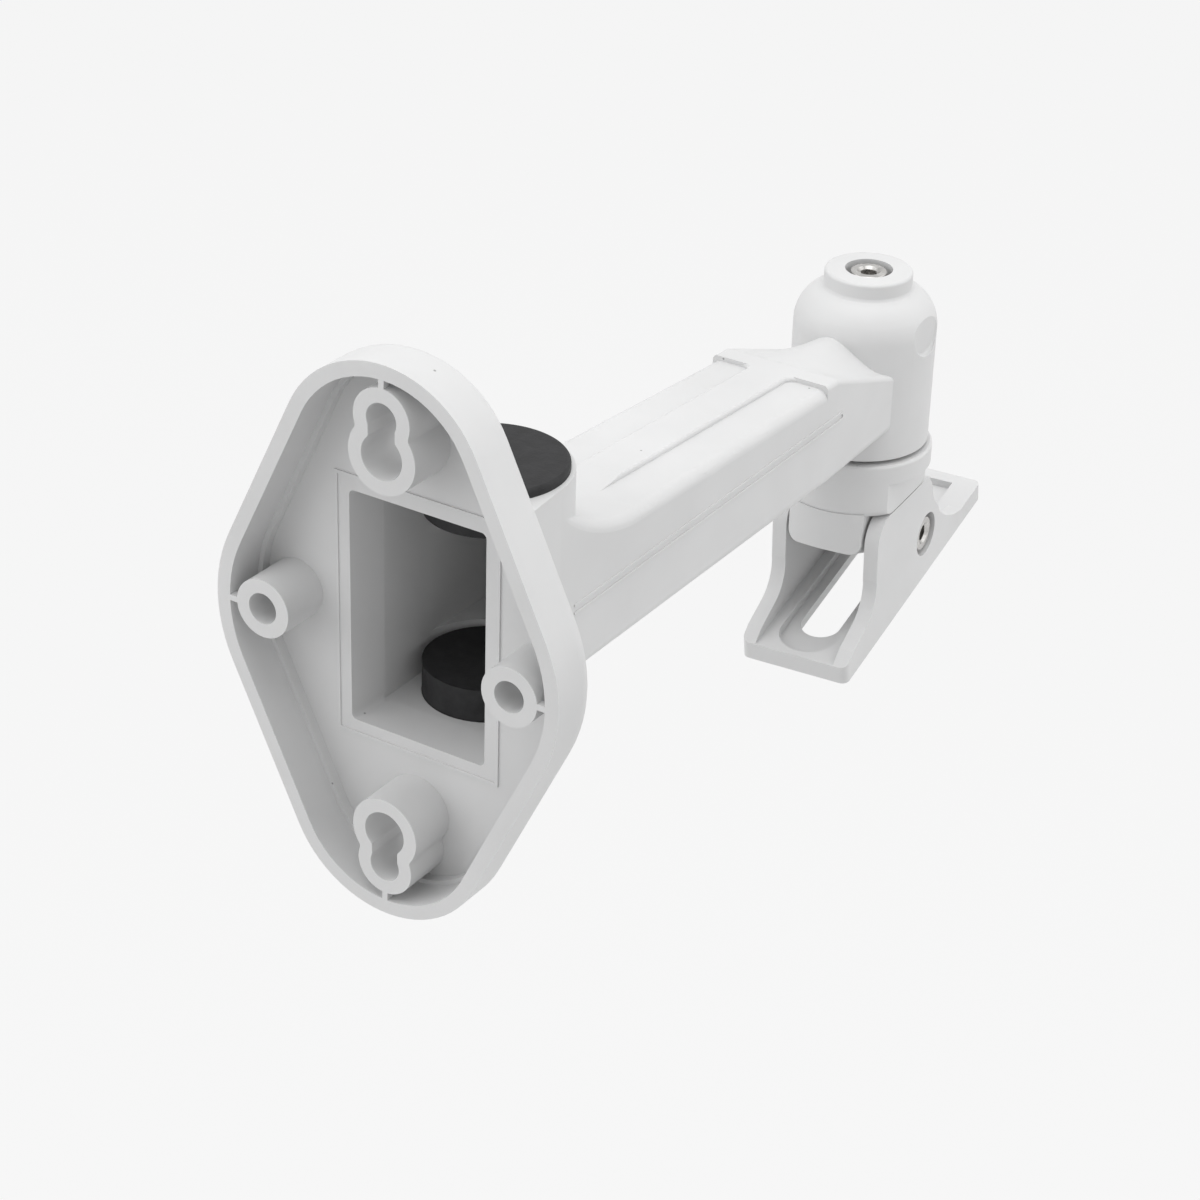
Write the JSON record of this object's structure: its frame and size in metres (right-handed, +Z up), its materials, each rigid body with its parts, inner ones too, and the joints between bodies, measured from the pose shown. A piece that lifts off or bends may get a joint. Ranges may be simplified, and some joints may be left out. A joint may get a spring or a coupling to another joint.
{
  "type": "camera bracket",
  "caption": "Wall bracket with a hollow arm, rubber-plugged cable hub, panning swivel and tilting slotted plate for a small camera.",
  "frame": {"origin": "on the wall plane, midway between the two side screw holes of the wall plate", "axes": "+Y into the wall, the arm reaches out along -Y, +Z up"},
  "size_m": [0.065, 0.1985, 0.1129],
  "materials": {
    "white_plastic": "satin",
    "black_rubber": "matte",
    "bright_steel": "bright"
  },
  "bodies": {
    "arm": {"wall_arm": "white_plastic", "upper_cable_plug": "black_rubber", "lower_cable_plug": "black_rubber"},
    "swivel": {"swivel": "white_plastic", "pan_screw": "bright_steel", "pan_nut": "bright_steel"},
    "camera_plate": {"camera_plate": "white_plastic", "tilt_screw": "bright_steel", "tilt_nut": "bright_steel"}
  },
  "joints": [
    {"name": "pan", "type": "hinge", "parent": "arm", "child": "swivel", "pos_m": [0, -0.1545, -0.0227], "axis": [0, 0, 1], "range_deg": [-95, 85]},
    {"name": "tilt", "type": "hinge", "parent": "swivel", "child": "camera_plate", "pos_m": [0.00113, -0.16745, -0.0478], "axis": [-0.9962, -0.0872, 0], "range_deg": [0, 75]}
  ]
}
